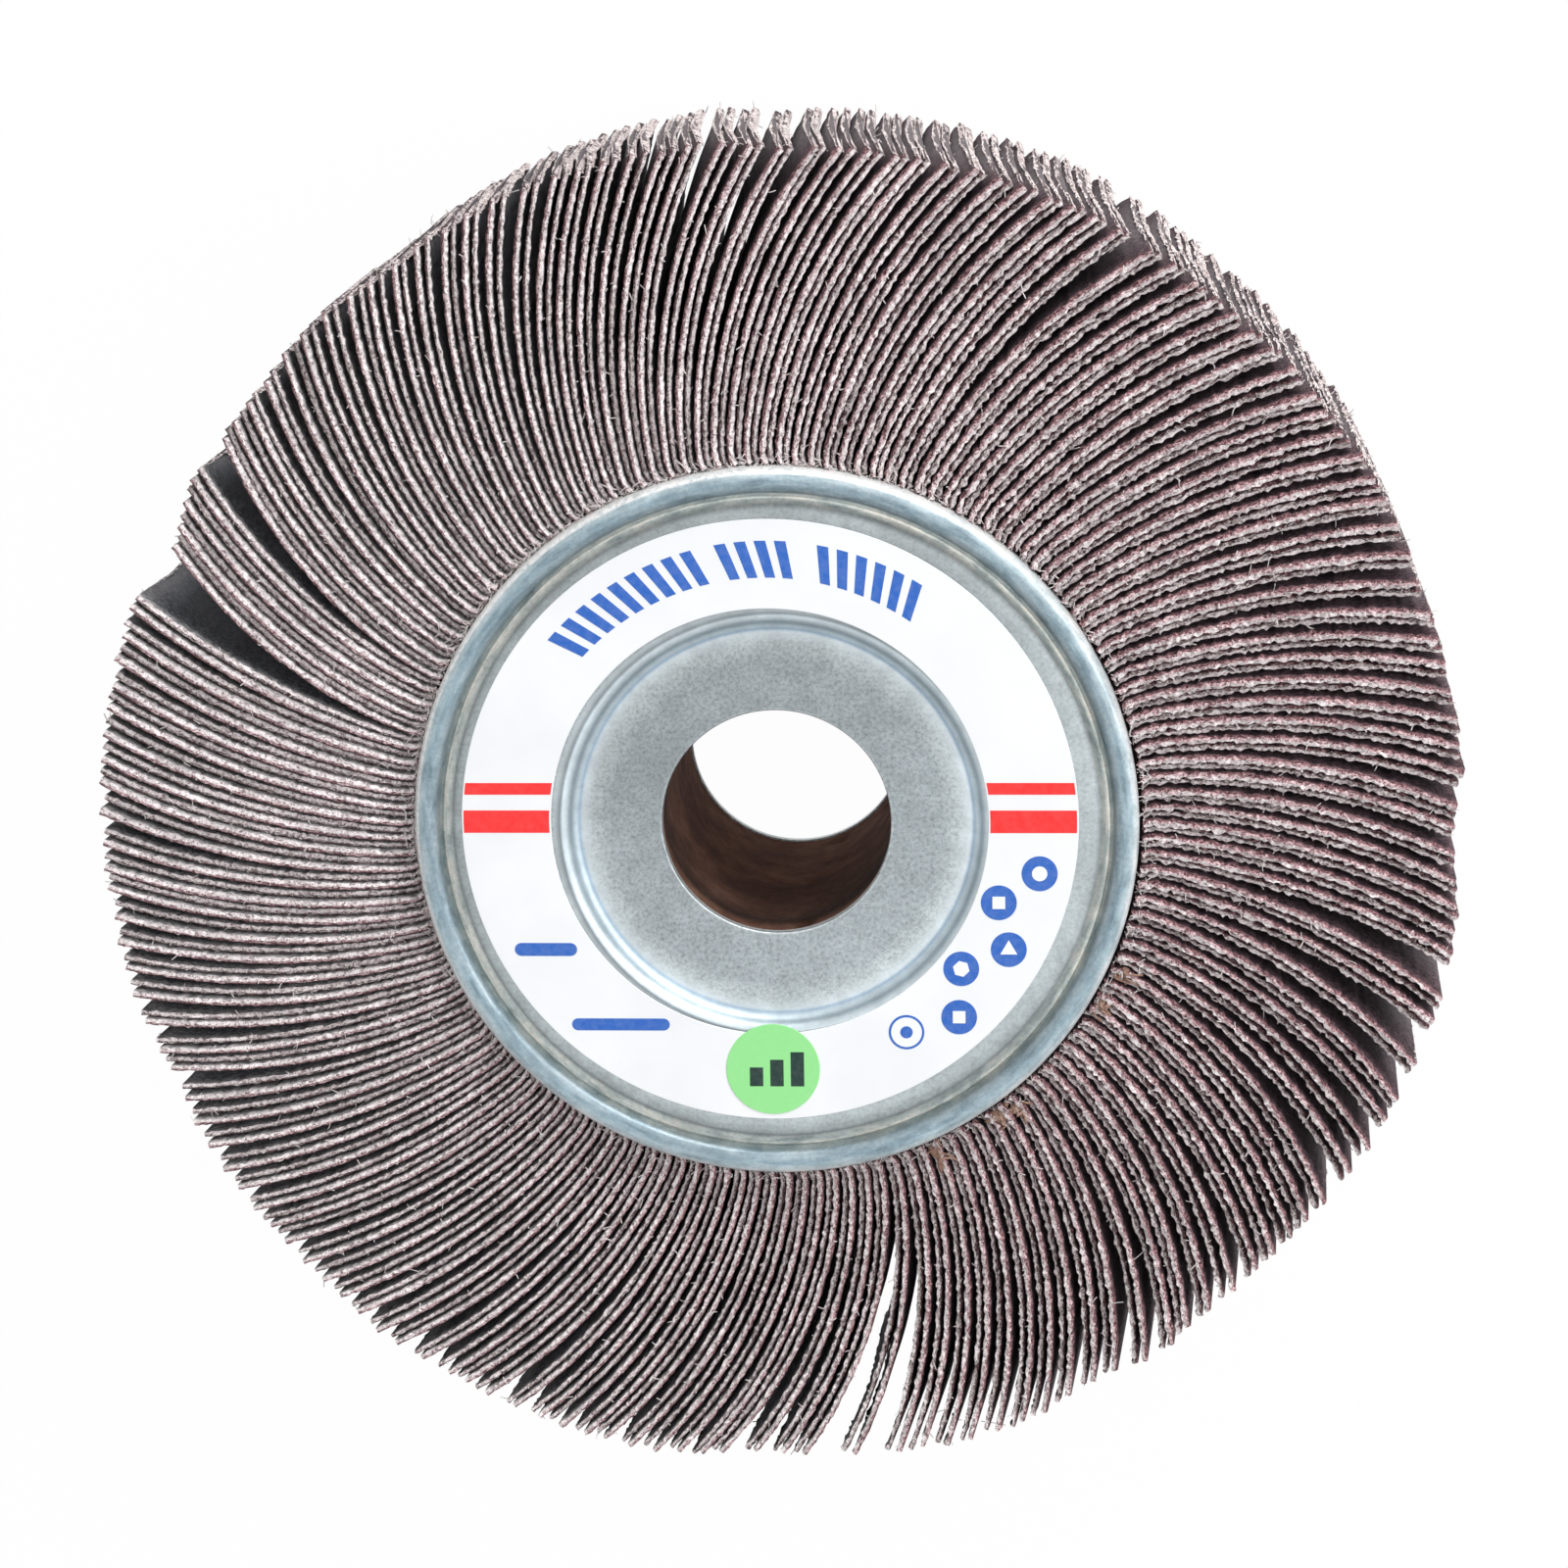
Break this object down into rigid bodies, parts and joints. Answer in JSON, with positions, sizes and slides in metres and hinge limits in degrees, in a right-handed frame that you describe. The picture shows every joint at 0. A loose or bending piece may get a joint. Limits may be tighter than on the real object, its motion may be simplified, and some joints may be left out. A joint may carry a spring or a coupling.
{
  "type": "flap wheel",
  "caption": "Unmounted abrasive flap wheel: worn cloth flaps round a resin core with a through bore, clamped between two pressed steel flanges with curled rims.",
  "frame": {"origin": "on the bore axis, in the plane that the wheel rests on when it lies on its rear flange", "axes": "+Z along the bore axis towards the front flange, +Y towards the top of the label's print"},
  "size_m": [0.15, 0.15, 0.0484],
  "materials": {
    "flaps": "worn abrasive cloth with frayed edges, resin core",
    "flange_steel": "zinc plated pressing, satin",
    "label": "smooth coated paper, printed",
    "sticker": "coated paper dot"
  },
  "bodies": {
    "root": {"flap_pack": "flaps", "front_flange": "flange_steel", "rear_flange": "flange_steel", "paper_label": "label", "grade_sticker": "sticker"}
  },
  "joints": []
}
